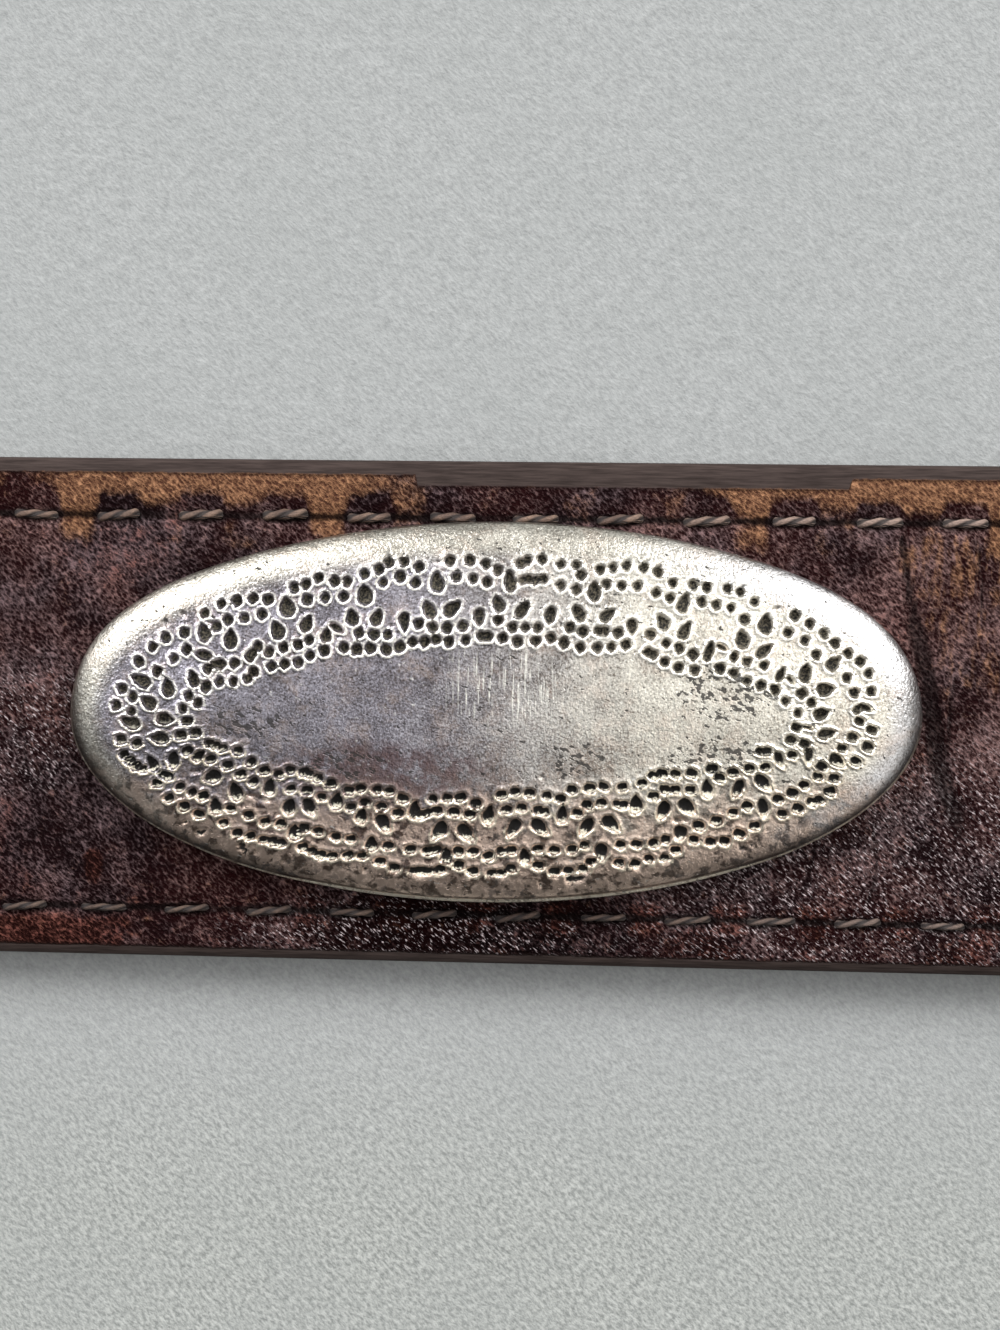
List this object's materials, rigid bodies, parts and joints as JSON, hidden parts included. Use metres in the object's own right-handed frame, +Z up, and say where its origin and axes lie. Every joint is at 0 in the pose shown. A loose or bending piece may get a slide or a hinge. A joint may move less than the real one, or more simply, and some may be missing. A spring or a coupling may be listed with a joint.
{
  "type": "western belt",
  "caption": "Western leather belt laid flat, stitched and lined, with a domed oval stamped concho at its middle and a plain buckle.",
  "frame": {"origin": "under the middle of the belt's length and width, on the plane it lies on, straight below the middle of the concho", "axes": "+X along the belt from the buckle to the tip, +Y across the belt, +Z up out of the face of the leather"},
  "size_m": [1.0787, 0.0518, 0.0084],
  "materials": {
    "leather": "distressed pebbled leather, dark brown with tan rubbed patches, painted round edges",
    "backing": "plain dark brown backing leather with a painted edge",
    "aged_silver": "worn antique silver plate with blackened stamping",
    "buckle_metal": "plain antique silver plate",
    "thread": "twisted waxed sewing thread, grey brown"
  },
  "bodies": {
    "root": {"strap_face": "leather", "strap_backing": "backing", "concho": "aged_silver", "concho_post": "buckle_metal", "buckle": "buckle_metal"}
  },
  "joints": []
}
